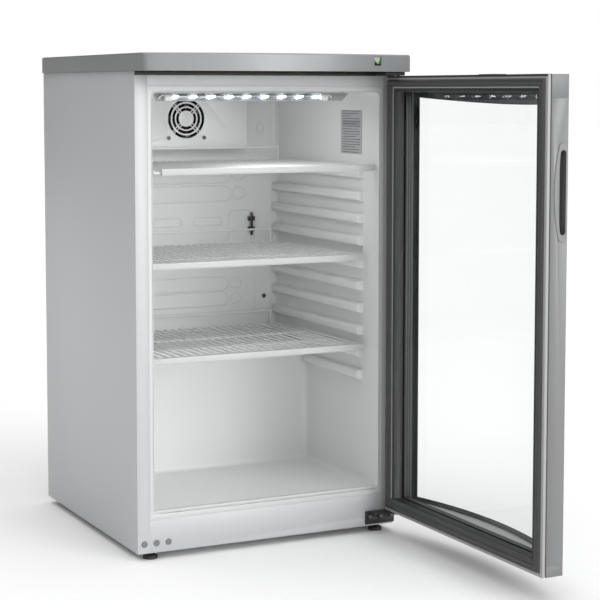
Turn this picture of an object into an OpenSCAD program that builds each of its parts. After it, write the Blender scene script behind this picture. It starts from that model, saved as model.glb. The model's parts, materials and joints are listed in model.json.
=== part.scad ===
// Under-counter display fridge with a bowed glass door, in millimetres.
// Every shape is first placed from the cabinet: x runs from its left side to its right, y from its
// front face towards the back, and z up from the floor. set_down() then moves the whole fridge so that
// the origin lies on the floor under the middle of its outline, with the door standing open.

/* [Cabinet] */
// Width of the cabinet over its side panels
cab_w = 485; // [440:1:600]
// Depth of the cabinet, from its front face to the rear edges of its sides
cab_d = 468; // [380:1:620]
// Height of the whole fridge, from the floor to the worktop
total_h = 840; // [700:1:1010]
// Height of the cabinet's underside above the floor
foot_gap = 12; // [9:1:30]
// Thickness of the sheet steel
sheet = 1; // [0.6:0.1:1.5]
// Thickness of the foam in the sides and the back
foam_t = 28; // [22:1:40]
// Thickness of the wall over the storage space
top_wall = 35; // [28:1:50]
// Height of the storage floor above the cabinet's underside
floor_wall = 66; // [58:1:90]
// Width of the folded front edge of each side panel
flange_w = 22; // [16:1:26]
// Height of the rail across the front, under the worktop
rail_h = 24; // [18:1:26]
// Height of the apron across the foot of the front
apron_h = 55; // [48:1:57]
// Depth of the recess behind the back panel that the condenser stands in
back_recess = 25; // [20:1:40]
// Depth of the bay that the compressor stands in
bay_d = 159; // [150:1:200]
// Height of the compressor bay
bay_h = 264; // [240:1:320]

/* [Liner] */
// Thickness of the plastic liner
liner_t = 1.5; // [1:0.1:3]
// Number of shelf ledges on each side wall
rib_n = 10; // [10:1:12]
// Height of one ledge
rib_h = 17; // [12:1:20]
// How far a ledge stands out of the wall
rib_out = 13; // [9:1:18]
// Distance of the ledges from the cabinet's front
rib_front = 57; // [50:1:70]
// Distance of the top ledge below the liner's ceiling
rib_drop = 135; // [125:1:160]

/* [Worktop] */
// Height of the worktop's rim
lid_t = 29; // [24:1:40]
// How far the worktop stands out over each side of the cabinet
lid_over = 4; // [2:1:8]
// How far the worktop's front corners stand out in front of the door's edges
lid_front = 5; // [3:1:12]
// Distance of the worktop's back edge from the rear edges of the sides
lid_short = 6; // [0:1:20]
// Radius of the worktop's front corners
lid_corner = 12; // [6:1:20]
// Thickness of the worktop's plastic skin
lid_skin = 2.5; // [2:0.1:4]

/* [Door] */
// How much narrower the door is than the cabinet
door_side = 2; // [0:0.5:8]
// Gap between the door's frame and the cabinet, which the gasket closes
seal_gap = 6.4; // [5:0.1:10]
// Thickness of the door at its two edges
door_t = 37.6; // [34:0.1:50]
// How far the door's front bows out between its edges
bow = 40; // [20:1:60]
// Clearance between the door and the worktop's rim
door_clear = 7; // [5:1:10]
// Height of the door's bottom edge above the cabinet's underside
door_lift = 30; // [28:1:45]
// Width of the door's stiles
stile_w = 22; // [20:1:30]
// Height of the door's top rail between the stiles
top_rail_h = 21; // [18:1:30]
// Height of the door's corner caps at the top
cap_h = 36; // [30:1:50]
// Height of the door's bottom rail
bottom_rail_h = 17; // [15:1:25]
// Thickness of each pane of glass
pane_t = 4; // [3:0.5:5]
// Width of the sealed space between the two flat panes
pane_gap = 12; // [8:1:14]
// Radius of the hinge pins
pin_r = 3; // [2.5:0.1:3.5]
// Distance of the hinge axis from the door's hinged edge
axis_in = 7; // [6:0.5:10]
// Distance of the hinge axis in front of the cabinet's face
axis_out = 23.4; // [22:0.1:30]
// Height of the handle's centre below the door's top edge
handle_drop = 177; // [120:1:300]
// Height of the handle's plate
handle_h = 150; // [120:1:200]

/* [Shelves] */
// Distance of the two lower shelves from the cabinet's front
shelf_front = 38; // [30:1:44]
// Distance of the top shelf from the cabinet's front
top_shelf_front = 6; // [4:1:12]
// Clearance between the top shelf's back wire and the fan's cover
shelf_back = 6.5; // [3:0.5:30]
// Height of a shelf's front trim
trim_h = 11; // [9:1:16]
// Radius of a shelf's thin wires
thin_r = 1.4; // [1:0.1:2]
// Radius of a shelf's stout wires
stout_r = 2.3; // [2:0.1:3]
// Distance between the thin wires
wire_pitch = 15; // [10:1:25]
// Height of the raised back wire above the shelf
stop_h = 26; // [20:1:30]

/* [Fan and lamp] */
// Width across the fan's square frame
fan_w = 80; // [60:1:92]
// Depth of the fan's frame
fan_d = 25; // [20:1:32]
// Width of the fan's cover
cover_w = 250; // [200:1:320]
// Height of the fan's cover
cover_h = 106; // [96:1:116]
// Depth of the fan's cover
cover_d = 52; // [40:1:60]
// Number of lights in the lamp
led_n = 9; // [5:1:15]
// Distance between the lights
led_pitch = 33; // [20:1:36]

/* [Hidden] */
$fn = 48;
over = 1;              // how far a cut runs past the face it opens

// Cabinet
cab_top = total_h - lid_t;
bay_y = cab_d - bay_d;
bay_top = foot_gap + bay_h;
back_y = cab_d - back_recess;
wall = sheet + foam_t + liner_t;
mid_x = cab_w / 2;
pan_t = 1.2;
pan_top = foot_gap + pan_t;
border_z0 = foot_gap + apron_h;
border_z1 = cab_top - rail_h;

// Storage space inside the liner
room_w = cab_w - 2 * wall;
room_z0 = foot_gap + floor_wall;
room_z1 = cab_top - top_wall;
room_d = back_y - wall;
low_d = bay_y - wall;
hump_z = bay_top + wall;
rib_z = room_z1 - rib_drop;
shelf_d = room_d - cover_d - top_shelf_front - shelf_back;   // from its trim to its raised back wire
last_shelf_rib = 8;
hump_clear = 14.5;     // from the hump in the liner up to the ledge of the lowest shelf
rib_pitch = (rib_z - hump_z - hump_clear) / last_shelf_rib;
rib_gap = 3;           // between the end of a ledge and the back wall

// Door, in the place it takes when it is shut: x runs along it and y points into the cabinet
door_w = cab_w - door_side;
door_x0 = cab_w - door_w;
door_z0 = foot_gap + door_lift;
door_z1 = cab_top - door_clear;
inner_t = 5.5;         // the white profile that holds the gasket
frame_v = 7;           // the back of the outer frame, counted from the door's inner face
bow_r = (door_w * door_w / 4 + bow * bow) / (2 * bow);
bow_x = door_x0 + door_w / 2;
bow_y = bow_r - seal_gap - door_t - bow;
hinge_x = cab_w - axis_in;
hinge_y = -axis_out;
door_open = 90;
glass_z0 = door_z0 + bottom_rail_h;
glass_z1 = door_z1 - top_rail_h;
pane_v = 17;           // the inner pane's inner face
pane_v2 = pane_v + pane_t + pane_gap;
seat = 0.2;            // clearance round glass and other pieces that are dropped in
bead_w = 6;
bead_low = 14;
gasket_in = 3.5;
gasket_w = 18;
gasket_low = 22;
gasket_rest = 0.8;     // the gasket's clearance from the cabinet
handle_z = door_z1 - handle_drop;
plate_out = 1;         // how far the handle's plate stands out of the door's edge
cup_h = handle_h - 22;
cup_v0 = 23;

// Outline of the whole fridge, door open
lid_edge_y = -seal_gap - door_t - lid_front;
out_x0 = -lid_over;
out_x1 = hinge_x + hinge_y + seal_gap + door_t + bow;
out_y0 = hinge_y - hinge_x + door_x0 - plate_out;
out_y1 = cab_d;

// Hinges
bush_r = 4.8;
bush_fit = 0.05;       // running clearance of the pins in their bushes
bush_h = 15;
plate_t = 3;
lower_plate_z = door_z0 - 3.5;
upper_plate_z = cab_top;
bolt_x = cab_w - 5.5;
bolt_pitch = 21.5;
bolt_z = foot_gap + 16;
plug_x = 12;
plug_r = 5.6;

// Fan
cover_z0 = room_z1 - cover_h;
cover_y = room_d - cover_d;
cover_t = 2;
fan_z = cover_z0 + 56.5;
fan_y = cover_y + cover_t;
fan_hole = fan_w / 2 - 4.25;
fan_r = fan_w / 2 - 1.2;
hub_r = 15;
blade_n = 7;
tip_gap = 1.2;
shaft_r = 1.5;

// Feet
foot_x = 28;
foot_y = 15;
foot_r = 12.3;
stem_r = 4;
stem_gap = 0.4;
stem_h = 28;
rear_foot_y = cab_d - 26;

// Compressor
comp_x = cab_w - 165;
comp_y = bay_y + bay_d / 2;
comp_r = 62;
comp_h = 165;
mount_h = 12;
gland_x = 60;
gland_z = pan_top + 16;
gland_r = 8;
gland_bore = 4;
lip_h = 32;

// Moves the fridge from the cabinet's corner to the middle of its outline
module set_down() translate([-(out_x0 + out_x1) / 2, -(out_y0 + out_y1) / 2, 0]) children();

// Swings a piece of the shut door to where it stands
module hang() set_down()
    translate([hinge_x, hinge_y, 0]) rotate([0, 0, door_open]) translate([-hinge_x, -hinge_y, 0])
        children();

// A block between two corners
module block(a, b) translate(a) cube(b - a);

// A rod along one axis
module rod_x(p, l, r) translate(p) rotate([0, 90, 0]) cylinder(r = r, h = l, $fn = 24);
module rod_y(p, l, r) translate(p) rotate([-90, 0, 0]) cylinder(r = r, h = l, $fn = 24);
module rod_z(p, l, r) translate(p) cylinder(r = r, h = l, $fn = 24);

// A pipe through a list of points, each on one axis from the last, with round elbows
module pipe(pts, r)
    for (i = [0 : len(pts) - 1]) {
        translate(pts[i]) sphere(r = r, $fn = 24);
        if (i > 0) pipe_run(pts[i - 1], pts[i], r);
    }

module pipe_run(a, b, r) {
    d = b - a;
    low = [min(a.x, b.x), min(a.y, b.y), min(a.z, b.z)];
    if (d.x != 0) rod_x(low, abs(d.x), r);
    if (d.y != 0) rod_y(low, abs(d.y), r);
    if (d.z != 0) rod_z(low, abs(d.z), r);
}

// ---- Cabinet shell ----

module side_sheet() {
    block([0, 0, foot_gap], [sheet, cab_d, cab_top]);
    block([0, 0, foot_gap], [flange_w, sheet, cab_top]);
    block([0, cab_d - sheet, foot_gap], [10, cab_d, cab_top]);
}

module side_panel_left() color("silver") set_down() side_sheet();

module side_panel_right() color("silver") set_down()
    difference() {
        translate([cab_w, 0, 0]) mirror([1, 0, 0]) side_sheet();
        bolt_holes();
    }

module back_panel() color("lightgray") set_down()
    block([sheet, back_y - sheet, bay_top + sheet], [cab_w - sheet, back_y, cab_top - sheet]);

module top_panel() color("lightgray") set_down()
    block([sheet, sheet, cab_top - sheet], [cab_w - sheet, back_y, cab_top]);

module front_top_rail() color("gainsboro") set_down()
    block([flange_w, 0, border_z1], [cab_w - flange_w, sheet, cab_top]);

module front_apron() color("gainsboro") set_down()
    difference() {
        block([flange_w, 0, foot_gap], [cab_w - flange_w, sheet, border_z0]);
        bolt_holes();
    }

// The holes that the lower hinge is screwed into
module bolt_holes()
    for (i = [0 : 2])
        rod_y([bolt_x - i * bolt_pitch, -over, bolt_z], sheet + 2 * over, 2.5);

module base_pan() color("silver") set_down()
    difference() {
        union() {
            block([sheet, sheet, foot_gap], [cab_w - sheet, cab_d - sheet, pan_top]);
            block([gland_x - 30, cab_d - 2 * sheet - 1, foot_gap],
                  [gland_x + 30, cab_d - sheet - 1, pan_top + lip_h]);
        }
        for (x = [foot_x, cab_w - foot_x])
            rod_z([x, foot_y, foot_gap - over], pan_t + 2 * over, stem_r + stem_gap);
        rod_y([gland_x, cab_d - 3 * sheet - over, gland_z], 4 * sheet + 2 * over, gland_r);
    }

module bay_partition() color("silver") set_down() {
    block([sheet, bay_y - sheet, pan_top], [cab_w - sheet, bay_y, bay_top]);
    block([sheet, bay_y - sheet, bay_top], [cab_w - sheet, back_y, bay_top + sheet]);
}

// ---- Liner and foam ----

// The storage space, grown by g on every side but the front
module room(g) {
    block([wall - g, -over, room_z0 - g], [cab_w - wall + g, low_d + g, room_z1 + g]);
    block([wall - g, -over, hump_z - g], [cab_w - wall + g, room_d + g, room_z1 + g]);
}

// One shelf ledge on the left wall, with its top at z = 0
module ledge(length) translate([-liner_t / 2, 0, 0]) {
    nose = rib_h / 2;
    translate([0, rib_front, -rib_h]) cube([rib_out + liner_t / 2 - nose, length, rib_h]);
    rod_y([rib_out + liner_t / 2 - nose, rib_front, -nose], length, nose);
}

function ledge_length(z) = (z > hump_z ? room_d : low_d) - rib_gap - rib_front;

module ledges()
    intersection() {
        room(liner_t / 2);
        union()
            for (i = [0 : rib_n - 1]) {
                z = rib_z - i * rib_pitch;
                translate([wall, 0, z]) ledge(ledge_length(z));
            }
    }

module inner_liner() color("white") set_down() {
    difference() {
        union() {
            intersection() {
                room(liner_t);
                block([0, 0, 0], [cab_w, cab_d, total_h]);
            }
            block([flange_w, 0, border_z0], [cab_w - flange_w, liner_t, border_z1]);
        }
        room(0);
    }
    ledges();
    translate([cab_w, 0, 0]) mirror([1, 0, 0]) ledges();
}

module insulation_foam() color("khaki") set_down()
    difference() {
        block([sheet, liner_t, pan_top], [cab_w - sheet, back_y - sheet, cab_top - sheet]);
        room(liner_t);
        block([0, bay_y - sheet, 0], [cab_w, cab_d, bay_top + sheet]);
        for (x = [foot_x, cab_w - foot_x])
            rod_z([x, foot_y, 0], foot_gap + stem_h, stem_r + 2);
        plate_pocket();
        for (i = [0 : 2])
            rod_y([bolt_x - i * bolt_pitch, 0, bolt_z], 16, 4);
    }

// ---- Worktop ----

// Outline of the worktop, w inside its edge: a bowed front with round corners
module lid_outline(w) {
    r = lid_corner - w;
    big = bow_r + lid_front - w - r;
    cx = out_x0 + lid_corner;
    lean = asin((bow_x - cx) / big);
    left = [for (a = [0 : 5]) [cx, bow_y - big * cos(lean)]
            + r * [-cos(a * (90 - lean) / 5), -sin(a * (90 - lean) / 5)]];
    front = [for (a = [-11 : 11]) [bow_x, bow_y]
             + (big + r) * [sin(a * lean / 12), -cos(a * lean / 12)]];
    right = [for (i = [5 : -1 : 0]) [2 * bow_x - left[i].x, left[i].y]];
    back = cab_d - lid_short - w;
    polygon(concat([[out_x0 + w, back]], left, front, right, [[2 * bow_x - out_x0 - w, back]]));
}

module worktop() color("darkgray") set_down()
    difference() {
        translate([0, 0, cab_top]) linear_extrude(lid_t) lid_outline(0);
        translate([0, 0, cab_top - over]) linear_extrude(lid_t - lid_skin + over) lid_outline(lid_skin);
        window_cut(seat);
    }

module worktop_core() color("burlywood") set_down()
    difference() {
        block([lid_skin + 2, lid_skin + 2, cab_top],
              [cab_w - lid_skin - 2, cab_d - lid_short - lid_skin - 2, total_h - lid_skin]);
        block([hinge_x - 50, 0, cab_top - over], [cab_w, 64, cab_top + plate_t + 3]);
    }

// The display sits in the worktop's bowed front, at the hinge side
win_w = 14;
win_h = 15;
win_x = cab_w - 73;
win_z = total_h - 11.5;
win_y = bow_y - sqrt(pow(bow_r + lid_front, 2) - pow(win_x - bow_x, 2));

module window_cut(g)
    block([win_x - win_w / 2 - g, win_y - 8, win_z - win_h / 2 - g],
          [win_x + win_w / 2 + g, win_y + 7.6, win_z + win_h / 2 + g]);

module display_window() color("black") set_down()
    block([win_x - win_w / 2, win_y - 0.6, win_z - win_h / 2],
          [win_x + win_w / 2, win_y + 7.2, win_z + win_h / 2]);

module controller_box() color("dimgray") set_down()
    block([win_x - 20, win_y + 8, cab_top + 5], [win_x + 16, win_y + 48, total_h - lid_skin - 0.5]);

// ---- Cold side ----

// The evaporator lies in the foam against the liner's back wall
evap_inset = 60;
evap_z0 = hump_z + 14;
evap_z1 = rib_z + 14;
evap_t = 1.5;
evap_bump = 4;

module plate_pocket()
    block([wall + evap_inset, room_d + liner_t, evap_z0],
          [cab_w - wall - evap_inset, room_d + liner_t + evap_t + evap_bump, evap_z1]);

module evaporator_plate() color("lightsteelblue") set_down() {
    y = room_d + liner_t;
    rows = floor((evap_z1 - evap_z0 - 30) / 34);
    block([wall + evap_inset, y, evap_z0], [cab_w - wall - evap_inset, y + evap_t, evap_z1]);
    intersection() {
        block([wall, y, evap_z0], [cab_w - wall, back_y, evap_z1]);
        union()
            for (i = [0 : rows])
                rod_x([wall + evap_inset + 25, y + evap_t, evap_z0 + 18 + i * 34],
                      room_w - 2 * evap_inset - 50, 3);
    }
}

// Ring slots and cross bars of the fan's grille, cut to the front plate's thickness
module fan_cover() color("gainsboro") set_down()
    difference() {
        union() {
            difference() {
                block([mid_x - cover_w / 2, cover_y, cover_z0],
                      [mid_x + cover_w / 2, room_d, room_z1]);
                block([mid_x - cover_w / 2 + cover_t, fan_y, cover_z0 + cover_t],
                      [mid_x + cover_w / 2 - cover_t, room_d + over, room_z1 + over]);
                for (k = [0.460, 0.355, 0.255]) ring_slot(k * fan_w);
            }
            for (a = [45, -45], s = [-2.4, 2.4]) grille_bar(a, s);
        }
        for (x = [-1, 1], z = [-1, 1])
            rod_y([mid_x + x * fan_hole, cover_y - over, fan_z + z * fan_hole], cover_t + 2 * over, 2.1);
        louvres();
    }

module ring_slot(r) translate([mid_x, cover_y - over, fan_z]) rotate([-90, 0, 0])
    difference() {
        cylinder(r = r, h = cover_t + 2 * over, $fn = 64);
        translate([0, 0, -over]) cylinder(r = r - 0.068 * fan_w, h = cover_t + 4 * over, $fn = 64);
    }

module grille_bar(angle, shift) translate([mid_x, cover_y, fan_z]) rotate([0, angle, 0])
    translate([-0.47 * fan_w, 0, shift - 0.8]) cube([0.94 * fan_w, cover_t, 1.6]);

// Slots in the cover's underside, where the air is drawn in
module louvres()
    for (i = [-4 : 4])
        block([mid_x + i * 24 - 7, cover_y + 12, cover_z0 - over],
              [mid_x + i * 24 + 7, room_d - 12, cover_z0 + cover_t + over]);

module fan_housing() color("black") set_down() {
    difference() {
        block([mid_x - fan_w / 2, fan_y, fan_z - fan_w / 2], [mid_x + fan_w / 2, fan_y + fan_d, fan_z + fan_w / 2]);
        rod_y([mid_x, fan_y - over, fan_z], fan_d + 2 * over, fan_r);
        for (x = [-1, 1], z = [-1, 1])
            rod_y([mid_x + x * fan_hole, fan_y - over, fan_z + z * fan_hole], fan_d + 2 * over, 1.9);
    }
    rod_y([mid_x, fan_y + fan_d - 4, fan_z], 3.6, hub_r + 1);
    for (a = [0 : 3]) translate([mid_x, fan_y + fan_d - 3.4, fan_z]) rotate([0, 45 + a * 90, 0])
        translate([hub_r - 2, 0, -2]) cube([fan_r - hub_r + 4, 2.6, 4]);
    rod_y([mid_x, fan_y + 4, fan_z], fan_d - 6, shaft_r);
}

module fan_screws() color("dimgray") set_down()
    for (x = [-1, 1], z = [-1, 1]) translate([mid_x + x * fan_hole, 0, fan_z + z * fan_hole]) {
        rod_y([0, cover_y - 1.6, 0], 1.6, 3.6);
        rod_y([0, cover_y - 0.5, 0], cover_t + 12, 1.9);
    }

module fan_rotor() color("black") set_down() {
    depth = fan_d - 8;
    difference() {
        union() {
            rod_y([mid_x, fan_y + 2.5, fan_z], depth, hub_r);
            for (a = [0 : blade_n - 1]) translate([mid_x, fan_y + 2.5 + depth / 2, fan_z])
                rotate([0, a * 360 / blade_n, 0]) rotate([38, 0, 0])
                    translate([hub_r - 2, -1, -10]) cube([fan_r - tip_gap - hub_r, 2, 20]);
        }
        rod_y([mid_x, fan_y + 3.7, fan_z], fan_d, shaft_r + bush_fit);
    }
}

// ---- Lamp ----

lamp_y = 30;
lamp_len = (led_n - 1) * led_pitch + 22;
lamp_x = mid_x - 27;
tube_r = 6;

module lamp_plate() color("gray") set_down()
    block([lamp_x - lamp_len / 2 - 38, lamp_y - 12, room_z1 - 2],
          [lamp_x + lamp_len / 2 + 38, lamp_y + 12, room_z1]);

module lamp_tube() color("whitesmoke") set_down()
    difference() {
        rod_x([lamp_x - lamp_len / 2, lamp_y, room_z1 - 2 - tube_r], lamp_len, tube_r);
        rod_x([lamp_x - lamp_len / 2 + 2, lamp_y, room_z1 - 2 - tube_r], lamp_len - 4, tube_r - 1);
    }

module led_strip() color("white") set_down() {
    z = room_z1 - 2 - tube_r;
    block([lamp_x - lamp_len / 2 + 3, lamp_y - 3.4, z + 1], [lamp_x + lamp_len / 2 - 3, lamp_y + 3.4, z + 2.2]);
    for (i = [0 : led_n - 1])
        block([lamp_x + (i - (led_n - 1) / 2) * led_pitch - 5, lamp_y - 2.5, z - 0.8],
              [lamp_x + (i - (led_n - 1) / 2) * led_pitch + 5, lamp_y + 2.5, z + 1]);
}

// ---- Small cabinet pieces ----

label_y = 62;
label_w = 80;
label_h = 78;

module rating_label() color("lightgray") set_down()
    block([cab_w - wall - 0.3, label_y, room_z1 - 32 - label_h],
          [cab_w - wall, label_y + label_w, room_z1 - 32]);

// The thermostat's probe, held to the back wall by two clips
module probe_and_clips() color("black") set_down() {
    x = cab_w - wall - 62;
    z = rib_z - 3 * rib_pitch;
    rod_z([x + 6, room_d - 6, z - 22], 44, 2.5);
    for (k = [-14, 6])
        block([x, room_d - 8, z + k], [x + 12, room_d, z + k + 8]);
}

// Plugs in the holes that the lower hinge uses when the door is hung on the left
module hole_plugs() color("darkgray") set_down()
    for (i = [0 : 2]) rod_y([plug_x + i * bolt_pitch, -1.2, bolt_z], 1.2, plug_r);

// ---- Hinges ----

module lower_hinge_bracket() color("black") set_down()
    difference() {
        union() {
            block([bolt_x - 2 * bolt_pitch - 7.5, -plate_t, foot_gap + 3], [cab_w + 1, 0, lower_plate_z]);
            block([bolt_x - 2 * bolt_pitch, hinge_y, lower_plate_z - plate_t], [cab_w + 1, 0, lower_plate_z]);
            rod_z([hinge_x, hinge_y, lower_plate_z - plate_t], plate_t, cab_w + 1 - hinge_x);
        }
        rod_z([hinge_x, hinge_y, 0], total_h, pin_r);
        for (i = [0 : 2]) rod_y([bolt_x - i * bolt_pitch, -plate_t - over, bolt_z], plate_t + 2 * over, 2.5);
    }

module lower_hinge_bolts() color("dimgray") set_down()
    for (i = [0 : 2]) {
        rod_y([bolt_x - i * bolt_pitch, -plate_t - 3, bolt_z], 3, 4.2);
        rod_y([bolt_x - i * bolt_pitch, -plate_t - 0.5, bolt_z], 14, 2.5);
    }

module lower_hinge_pin() color("silver") set_down() {
    rod_z([hinge_x, hinge_y, lower_plate_z - plate_t - 3], 3, pin_r + 2);
    rod_z([hinge_x, hinge_y, lower_plate_z - plate_t - 1], plate_t + 14, pin_r);
}

module upper_hinge_bracket() color("black") set_down()
    difference() {
        union() {
            block([hinge_x - 42, hinge_y, upper_plate_z], [cab_w - 0.5, 58, upper_plate_z + plate_t]);
            rod_z([hinge_x, hinge_y, upper_plate_z], plate_t, cab_w - 0.5 - hinge_x);
        }
        rod_z([hinge_x, hinge_y, 0], total_h, pin_r);
    }

module upper_hinge_pin() color("silver") set_down() {
    rod_z([hinge_x, hinge_y, upper_plate_z + plate_t], 2, pin_r + 2);
    rod_z([hinge_x, hinge_y, door_z1 - bush_h + 1.5], upper_plate_z + plate_t + 1 - door_z1 + bush_h - 1.5, pin_r);
}

// ---- Machinery in the bay ----

// The compressor's can: two drawn halves with a welded rim between them
module compressor() color("black") set_down() translate([comp_x, comp_y, pan_top + mount_h]) {
    rotate_extrude($fn = 64) {
        square([comp_r - 25, comp_h - 12]);
        translate([0, 25]) square([comp_r, comp_h - 62]);
        translate([comp_r - 25, 25]) circle(r = 25);
        translate([comp_r - 25, comp_h - 37]) circle(r = 25);
        translate([0, comp_h / 2 - 4]) square([comp_r + 5, 8]);
    }
    translate([-comp_r - 12, -48, 0]) cube([2 * comp_r + 24, 96, 3]);
}

module compressor_mounts() color("dimgray") set_down()
    for (x = [-1, 1], y = [-1, 1])
        rod_z([comp_x + x * (comp_r + 3), comp_y + y * 39, pan_top], mount_h, 9);

module terminal_box() color("black") set_down()
    block([comp_x - comp_r - 52, comp_y - 28, pan_top + mount_h + 45],
          [comp_x - comp_r - 6, comp_y + 28, pan_top + mount_h + 105]);

// A tube folded back and forth behind the back panel, on two upright straps
cond_r = 2.5;
cond_pitch = 40;
cond_y = back_y + 9;
cond_x0 = 50;
cond_rows = floor((cab_top - 60 - hump_z) / cond_pitch / 2) * 2;
cond_z0 = hump_z + 20;

module condenser() color("black") set_down() {
    for (i = [0 : cond_rows]) {
        rod_x([cond_x0, cond_y, cond_z0 + i * cond_pitch], cab_w - 2 * cond_x0, cond_r);
        if (i < cond_rows)
            translate([i % 2 == 0 ? cab_w - cond_x0 : cond_x0, cond_y, cond_z0 + (i + 0.5) * cond_pitch])
                rotate([90, 0, 0]) rotate([0, 0, i % 2 == 0 ? -90 : 90])
                    rotate_extrude(angle = 180, $fn = 48) translate([cond_pitch / 2, 0]) circle(r = cond_r, $fn = 24);
    }
    for (x = [0.2, 0.8])
        block([cab_w * x - 6, back_y, cond_z0 - 12],
              [cab_w * x + 6, cond_y, cond_z0 + cond_rows * cond_pitch + 12]);
}

dryer = [80, bay_y + bay_d - 40, pan_top + 90];

module filter_dryer() color("peru") set_down() {
    rod_z(dryer, 80, 9);
    rod_z(dryer - [0, 0, 12], 104, 4);
}

module refrigerant_pipes() color("peru") set_down() {
    r = 2.5;
    top = comp_h + pan_top + mount_h - 45;
    start = [comp_x + 30, comp_y + comp_r - 1, pan_top + mount_h + 60];
    pipe([start, start + [0, 8, 0], [start.x, start.y + 8, cond_z0 - 30],
          [cab_w - cond_x0, start.y + 8, cond_z0 - 30]], r);
    pipe([dryer + [0, 0, 92 + r], [dryer.x, dryer.y, top + 60], [dryer.x, bay_y + 20, top + 60],
          [dryer.x, bay_y + 20, bay_top - r - 1]], r);
}

module drip_tray() color("gray") set_down()
    difference() {
        z = pan_top + mount_h + comp_h - 12;
        block([comp_x - 70, comp_y - 45, z], [comp_x + 70, comp_y + 45, z + 22]);
        block([comp_x - 68, comp_y - 43, z + 2], [comp_x + 68, comp_y + 43, z + 22 + over]);
    }

module cord_gland() color("black") set_down()
    difference() {
        union() {
            rod_y([gland_x, cab_d - 3 * sheet - 8, gland_z], 10, gland_r);
            rod_y([gland_x, cab_d - 3 * sheet - 10, gland_z], 2, gland_r + 2.5);
        }
        rod_y([gland_x, cab_d - 3 * sheet - 12, gland_z], 24, gland_bore);
    }

// ---- Feet ----

module levelling_foot(x) color("black") set_down() translate([x, foot_y, 0]) {
    cylinder(r = foot_r, h = foot_gap * 0.4);
    translate([0, 0, foot_gap * 0.4]) cylinder(r1 = foot_r, r2 = stem_r + 2, h = foot_gap * 0.3);
    translate([0, 0, 0.5]) cylinder(r = stem_r, h = foot_gap + stem_h - 6);
}

module foot_front_left() levelling_foot(foot_x);
module foot_front_right() levelling_foot(cab_w - foot_x);

module rear_feet() color("black") set_down()
    for (x = [foot_x, cab_w - foot_x]) rod_z([x, rear_foot_y, 0], foot_gap, foot_r);

// ---- Shelves ----

grid_side = 7;         // from the liner's wall to the outer wires
stop_in = 26;          // from the liner's wall to the ends of the raised back wire
wire_x0 = wall + grid_side;
wire_x1 = cab_w - wall - grid_side;
weld = 0.5;            // how deep crossing wires are welded into each other
ledge_gap = 0.3;       // between a shelf and its ledges

// A grid of wires. front is the distance of the trim from the cabinet, z the top of the ledges.
module grid(front, z) color("white") set_down() {
    low = z + ledge_gap + stout_r;
    up = low + stout_r + thin_r - weld;
    n = floor((wire_x1 - wire_x0) / wire_pitch);
    step = (wire_x1 - wire_x0) / n;
    for (k = [0 : 3])
        rod_x([wire_x0, front + 8 + k * (shelf_d - 16) / 3, low], wire_x1 - wire_x0, stout_r);
    for (i = [0 : n])
        rod_y([wire_x0 + i * step, front + 3.5, up], shelf_d - 6, thin_r);
    stop_y = front + shelf_d - stout_r;
    pipe([[wall + stop_in, stop_y, up], [wall + stop_in, stop_y, up + stop_h - thin_r],
          [cab_w - wall - stop_in, stop_y, up + stop_h - thin_r], [cab_w - wall - stop_in, stop_y, up]],
         stout_r - 0.3);
}

// The channel that is clipped over a grid's front. shift slides it along the wires.
module trim(front, z, shift) color("whitesmoke") set_down() {
    a = wire_x0 + 1.5 + shift;
    b = wire_x1 - 1.5 + shift;
    z0 = z - 1.5;
    difference() {
        block([a, front, z0], [b, front + 12.5, z0 + trim_h]);
        block([a - over, front + 2, z0 + 1.4], [b + over, front + 13, z0 + trim_h - 1.4]);
    }
}

shelf_2_z = rib_z - last_shelf_rib / 2 * rib_pitch;
shelf_3_z = rib_z - last_shelf_rib * rib_pitch;

module shelf_1_grid() grid(top_shelf_front, rib_z);
module shelf_1_trim() trim(top_shelf_front, rib_z, 3);
module shelf_2_grid() grid(shelf_front, shelf_2_z);
module shelf_2_trim() trim(shelf_front, shelf_2_z, 0);
module shelf_3_grid() grid(shelf_front, shelf_3_z);
module shelf_3_trim() trim(shelf_front, shelf_3_z, 0);

// ---- Door ----

// A slice of the bowed door: along it from u0 to u1, from v back to the bow less skin, z0 to z1
module bowed(u0, u1, v, skin, z0, z1)
    intersection() {
        translate([bow_x, bow_y, z0]) cylinder(r = bow_r - skin, h = z1 - z0, $fn = 360);
        block([cab_w - u1, -seal_gap - door_t - bow - over, z0], [cab_w - u0, -seal_gap - v, z1]);
    }

// A flat slab of the door, from v0 to v1 behind its inner face
module slab(u0, u1, v0, v1, z0, z1)
    block([cab_w - u1, -seal_gap - v1, z0], [cab_w - u0, -seal_gap - v0, z1]);

// A flat ring of the door, in from its edges by a list of [sides, bottom, top]
module ring(outer, inner, v0, v1)
    difference() {
        slab(outer[0], door_w - outer[0], v0, v1, door_z0 + outer[1], door_z1 - outer[2]);
        slab(inner[0], door_w - inner[0], v0 - over, v1 + over, door_z0 + inner[1], door_z1 - inner[2]);
    }

module bush_hole(g) rod_z([hinge_x, hinge_y, 0], total_h, bush_r + g);

// A hollow stile between the corner caps
module stile(u0, u1)
    difference() {
        bowed(u0, u1, frame_v, 0, door_z0 + bottom_rail_h, door_z1 - cap_h);
        bowed(u0 + 2, u1 - 2, frame_v + 2, 2, door_z0 + bottom_rail_h - over, door_z1 - cap_h + over);
    }

module door_stile_hinge() color("silver") hang() stile(0, stile_w);

module door_stile_latch() color("silver") hang()
    difference() {
        stile(door_w - stile_w, door_w);
        slab(door_w - 4, door_w + over, cup_v0 - 3, door_t - 0.6, handle_z - cup_h / 2 - 2, handle_z + cup_h / 2 + 2);
    }

module door_top_rail() color("silver") hang()
    difference() {
        bowed(0, door_w, frame_v, 0, door_z1 - cap_h, door_z1);
        slab(stile_w, door_w - stile_w, -over, door_t + bow + over, door_z1 - cap_h - over, glass_z1);
        bush_hole(0);
    }

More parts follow.
